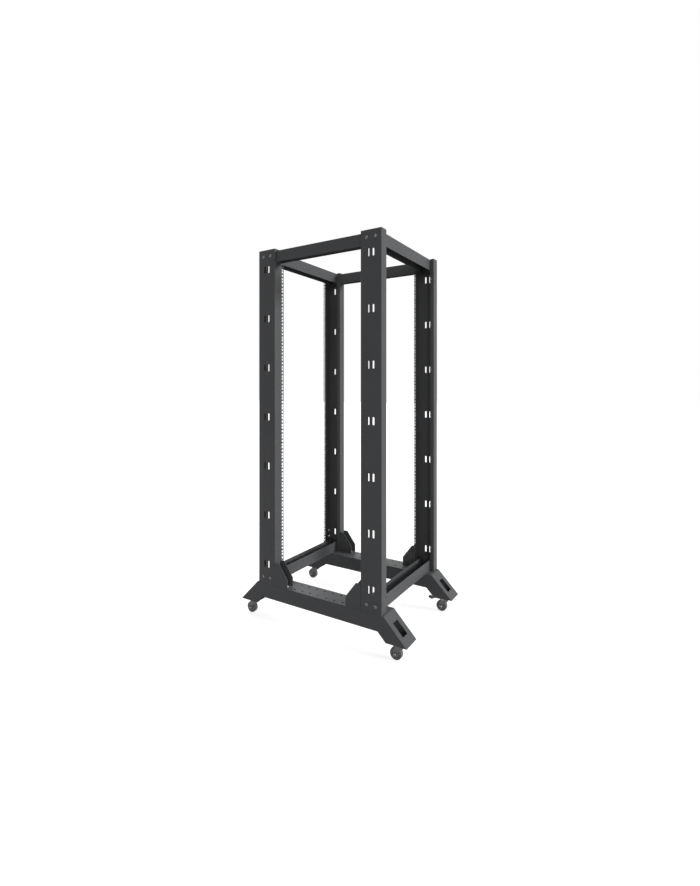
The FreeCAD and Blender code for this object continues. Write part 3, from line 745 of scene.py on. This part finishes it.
def makePedal():
    # seen from above the pedal is an arm, a neck and a blade with rounded corners. Seen from
    # the side its height is -fall * ramp(u - arm) + (fall + lift) * ramp(u - arm - neck),
    # where u is the distance behind the pin and ramp(t) = (t + sqrt(t * t + soft * soft)) / 2
    p = pedal
    fall, lift = p["dip"] / p["neck"], p["rise"] / p["blade"]
    bladeAt = p["arm"] + p["neck"]
    tip = bladeAt + p["blade"]
    soft, tight = p["edgeRound"], p["edgeRound"] - 1
    # distance behind the pin, whole width there and the radius of the corner
    half = [(-p["heel"], p["armWide"], 1), (p["arm"] - 5, p["armWide"], soft),
            (p["arm"] + 3, p["neckWide"], soft), (bladeAt - 5, p["neckWide"], tight),
            (bladeAt + 1, p["bladeWide"], soft), (tip, p["bladeWide"], p["bladeRound"])]
    edge = [(u, -wide / 2) for u, wide, _ in half] + [(u, wide / 2) for u, wide, _ in half[::-1]]
    outline = roundCorners(edge, [radius for _, _, radius in half + half[::-1]])
    # lines across the blank where it bends, as distance and half length
    bends = ((p["arm"], 5.5), (p["arm"] + 2, 5.5), (p["arm"] - 2, 5.5), (bladeAt - 2, 5.5),
             (bladeAt, 8), (bladeAt + 2, 10), (bladeAt + 5, 12))
    lines = [[[u, -reach], [u, reach]] for u, reach in bends]

    def ramp(t):
        return (t + np.sqrt(t * t + p["soft"] ** 2)) / 2

    def height(u):
        return (fall + lift) * ramp(u - bladeAt) - fall * ramp(u - p["arm"])

    def place(flat, depth):
        # half the sheet to each side of the height's curve, along (slope, 1) made a unit long
        u = flat[:, 0]
        slope = (height(u + 0.01) - height(u - 0.01)) / 0.02
        out = (0.5 - depth) * p["sheet"] / np.sqrt(1 + slope * slope)
        return (np.stack([-u + slope * out, flat[:, 1], height(u) + out], 1) + p["pin"]) * mm

    blade = addSheet("front_right_pedal_blade", [outline], lines, place, "pedalNylon",
                     "front_right_pedal", "brake_pedal", ease=p["ease"])
    wide = p["armWide"] / 2
    knuckle = turnedPiece("front_right_pedal_knuckle",
                          mirrorRings([(p["bore"], wide, 0), (p["knuckle"] - 0.3, wide, 0),
                                       (p["knuckle"], wide - 0.3, 0)]),
                          p["pin"], (0, 1, 0), "pedalNylon", "front_right_pedal", "brake_pedal",
                          32, True)
    for piece in (blade, knuckle):
        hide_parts("front_right_brake_pedal")
    outside = caster["cheekGap"] / 2 + caster["sheet"]
    dome = [(p["rivet"], 0, 0), (p["rivet"], 0.3, 0), (2.9, 0.9, 0), (2.0, 1.4, 0),
            (0.8, 1.6, 0)]
    for label, side in (("near", -1), ("far", 1)):
        turnedPiece("front_right_pedal_rivet_" + label, dome,
                    np.array(p["pin"]) + (0, side * outside, 0), (0, side, 0), "boltZinc",
                    "front_right_fork", "caster_metal", 24)
    reach = outside - caster["inset"]
    turnedPiece("front_right_pedal_pin",
                [(p["pinRadius"], -reach, 0), (p["pinRadius"], reach, 0)], p["pin"], (0, 1, 0),
                "boltZinc", "front_right_fork", "caster_metal", 24)
    turnedPiece("front_right_pedal_stud", dome, np.array(p["pin"]) + p["stud"], (0, 0, 1),
                "boltZinc", "front_right_pedal", "brake_pedal", 24)


makePedal()
print("brake pedal made")


# Floor, lamps and white surroundings

# size and fade are metres; lift is the floor's own glow to the camera near the rack and far
# away, and ambient is how strongly the white surroundings light the rack
floor = dict(size=60.0, rows=9, colour=(0.32, 0.32, 0.325), rough=0.6, lift=(0.80, 1.0),
             fade=(0.7, 2.6))
ambient = 0.15


def plainRays(tree):
    # the largest of the three ray tests, so 1 for the camera, glossy and transmission rays,
    # which see the plain white surroundings, and 0 for the rest
    path = tree.nodes.new("ShaderNodeLightPath")
    pair = tree.nodes.new("ShaderNodeMath")
    every = tree.nodes.new("ShaderNodeMath")
    pair.operation = every.operation = "MAXIMUM"
    tree.links.new(path.outputs["Is Camera Ray"], pair.inputs[0])
    tree.links.new(path.outputs["Is Glossy Ray"], pair.inputs[1])
    tree.links.new(pair.outputs[0], every.inputs[0])
    tree.links.new(path.outputs["Is Transmission Ray"], every.inputs[1])
    return every


def makeFloor():
    # a square grid at height 0, x and y from -edge to edge. Its glow, which only the plain
    # rays see, follows smoothstep of the distance from the rack's middle
    edge = floor["size"] / 2
    rows = floor["rows"]
    grid = np.linspace(-edge, edge, rows)
    x, y = np.meshgrid(grid, grid, indexing="ij")
    points = np.stack([x, y, np.zeros_like(x)], 2).reshape(-1, 3)
    low, here = np.meshgrid(np.arange(rows - 1), np.arange(rows - 1), indexing="ij")
    quads = np.stack([low * rows + here, (low + 1) * rows + here, (low + 1) * rows + here + 1,
                      low * rows + here + 1], 2).reshape(-1, 4)
    mesh = bpy.data.meshes.new("studio_floor")
    mesh.from_pydata(points.tolist(), [], quads.tolist())
    ground = bpy.data.objects.new("studio_floor", mesh)
    bpy.context.scene.collection.objects.link(ground)
    material = bpy.data.materials.new("paleFloor")
    material.use_nodes = True
    tree = material.node_tree
    shader = tree.nodes["Principled BSDF"]
    shader.inputs["Base Color"].default_value = (*floor["colour"], 1)
    shader.inputs["Roughness"].default_value = floor["rough"]
    shader.inputs["Specular IOR Level"].default_value = 0.0
    shader.inputs["Emission Color"].default_value = (1, 1, 1, 1)
    place = tree.nodes.new("ShaderNodeTexCoord")
    away = tree.nodes.new("ShaderNodeVectorMath")
    away.operation = "LENGTH"
    fade = tree.nodes.new("ShaderNodeMapRange")
    fade.interpolation_type = "SMOOTHSTEP"
    fade.inputs["From Min"].default_value = floor["fade"][0]
    fade.inputs["From Max"].default_value = floor["fade"][1]
    fade.inputs["To Min"].default_value = floor["lift"][0]
    fade.inputs["To Max"].default_value = floor["lift"][1]
    seen = tree.nodes.new("ShaderNodeMath")
    seen.operation = "MULTIPLY"
    straight = plainRays(tree)
    tree.links.new(place.outputs["Object"], away.inputs[0])
    tree.links.new(away.outputs["Value"], fade.inputs["Value"])
    tree.links.new(fade.outputs["Result"], seen.inputs[0])
    tree.links.new(straight.outputs[0], seen.inputs[1])
    tree.links.new(seen.outputs[0], shader.inputs["Emission Strength"])
    mesh.materials.append(material)


def makeWorld():
    # strength = ambient + (1 - ambient) * plain, where plain is 1 for the plain rays, else 0
    world = bpy.data.worlds.new("whiteStudio")
    bpy.context.scene.world = world
    world.use_nodes = True
    tree = world.node_tree
    tree.nodes.clear()
    out = tree.nodes.new("ShaderNodeOutputWorld")
    back = tree.nodes.new("ShaderNodeBackground")
    back.inputs["Color"].default_value = (1, 1, 1, 1)
    straight = plainRays(tree)
    level = tree.nodes.new("ShaderNodeMapRange")
    level.inputs["To Min"].default_value = ambient
    level.inputs["To Max"].default_value = 1.0
    tree.links.new(straight.outputs[0], level.inputs["Value"])
    tree.links.new(level.outputs["Result"], back.inputs["Strength"])
    tree.links.new(back.outputs[0], out.inputs["Surface"])


# each lamp's turn from +X, its height angle and the angle that it fills, in degrees
lampReach = 6
lamps = {
    "front": dict(turn=16, rise=16, wide=14, strength=3.4),
    "side": dict(turn=-52, rise=16, wide=30, strength=1.02),
    "top": dict(turn=40, rise=80, wide=60, strength=2.75),
    "back": dict(turn=140, rise=30, wide=50, strength=1.0),
}


def makeLamps():
    # away = (cos rise * cos turn, cos rise * sin turn, sin rise), and each lamp shines back
    # along it
    for name, given in lamps.items():
        light = bpy.data.lights.new(name + "_lamp", "SUN")
        light.angle = math.radians(given["wide"])
        light.energy = given["strength"]
        lamp = bpy.data.objects.new(name + "_lamp", light)
        turn, rise = math.radians(given["turn"]), math.radians(given["rise"])
        away = Vector((math.cos(rise) * math.cos(turn), math.cos(rise) * math.sin(turn),
                       math.sin(rise)))
        lamp.location = away * lampReach
        lamp.rotation_euler = away.to_track_quat("Z", "Y").to_euler()
        bpy.context.scene.collection.objects.link(lamp)


makeFloor()
makeWorld()
makeLamps()
print("floor, lamps and surroundings set")


# Camera at the photograph's angle, level, with the shift of its crop

# place is in metres, focal, frame and shift are in the photograph's pixels, and sensor is in
# millimetres
camera = dict(place=(1.2002, -1.9038, 1.0585), turn=31.463, focal=473.87, frame=(700, 886),
              shift=(-7.38, -54.14), sensor=36)


def makeCamera():
    # lens = focal / longest side * sensor, and each shift is its pixels / longest side
    longest = max(camera["frame"])
    lens = bpy.data.cameras.new("photo_camera")
    lens.sensor_width = camera["sensor"]
    lens.lens = camera["focal"] / longest * lens.sensor_width
    lens.shift_x = camera["shift"][0] / longest
    lens.shift_y = camera["shift"][1] / longest
    view = bpy.data.objects.new("photo_camera", lens)
    view.location = camera["place"]
    view.rotation_euler = (math.radians(90), 0, math.radians(camera["turn"]))
    bpy.context.scene.collection.objects.link(view)
    bpy.context.scene.camera = view


makeCamera()
bpy.context.scene.view_settings.view_transform = "Standard"
print("camera set")
